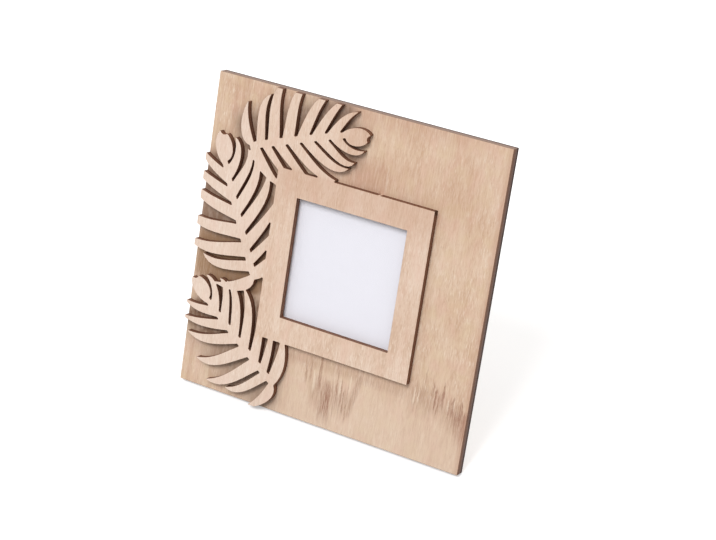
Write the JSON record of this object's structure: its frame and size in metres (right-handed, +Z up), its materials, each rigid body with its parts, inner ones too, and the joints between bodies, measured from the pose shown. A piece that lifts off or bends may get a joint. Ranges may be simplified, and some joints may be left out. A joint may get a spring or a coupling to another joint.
{
  "type": "photo frame",
  "caption": "Small leaning photo frame of laser-cut plywood: square board, fretwork surround with palm leaves, photo pocket under turn buttons and a fold-out easel leg.",
  "frame": {"origin": "on the floor, below the middle of the box round the standing frame", "axes": "+Z up, -Y towards the viewer: the picture faces -Y and leans back, +X to the right seen from the front"},
  "size_m": [0.15, 0.069, 0.146],
  "materials": {
    "board_plywood": "raw, sanded",
    "fretwork_plywood": "raw, sanded",
    "leg_plywood": "raw, sanded",
    "clear_acrylic": "clear, polished",
    "photo_paper": "blank white",
    "greyboard": "matt",
    "hardboard": "smooth",
    "plated_steel": "nickel-plated",
    "screw_steel": "nickel-plated"
  },
  "bodies": {
    "frame": {"board": "board_plywood", "leaf_fretwork": "fretwork_plywood", "glazing": "clear_acrylic", "photo_card": "photo_paper", "packing_card": "greyboard", "backing_panel": "hardboard", "turn_button_screws": "screw_steel", "hinge_fixed_leaf": "plated_steel", "hinge_pin": "plated_steel", "hinge_screws": "screw_steel"},
    "leg": {"easel_leg": "leg_plywood", "hinge_moving_leaf": "plated_steel", "leg_rivets": "screw_steel"},
    "button_top_left": {"turn_button_top_left": "plated_steel"},
    "button_bottom_left": {"turn_button_bottom_left": "plated_steel"},
    "button_top_right": {"turn_button_top_right": "plated_steel"},
    "button_bottom_right": {"turn_button_bottom_right": "plated_steel"}
  },
  "joints": [
    {"name": "leg_fold", "type": "hinge", "parent": "frame", "child": "leg", "pos_m": [0, 0.00751, 0.10861], "axis": [1, 0, 0], "range_deg": [-29.9, 0]},
    {"name": "button_top_left_turn", "type": "hinge", "parent": "frame", "child": "button_top_left", "pos_m": [-0.0324, -0.0004, 0.08874], "axis": [0, 0.9583, -0.2857], "continuous": true},
    {"name": "button_bottom_left_turn", "type": "hinge", "parent": "frame", "child": "button_bottom_left", "pos_m": [-0.0324, -0.01068, 0.05424], "axis": [0, 0.9583, -0.2857], "continuous": true},
    {"name": "button_top_right_turn", "type": "hinge", "parent": "frame", "child": "button_top_right", "pos_m": [0.0412, -0.0004, 0.08874], "axis": [0, 0.9583, -0.2857], "continuous": true},
    {"name": "button_bottom_right_turn", "type": "hinge", "parent": "frame", "child": "button_bottom_right", "pos_m": [0.0412, -0.01068, 0.05424], "axis": [0, 0.9583, -0.2857], "continuous": true}
  ]
}
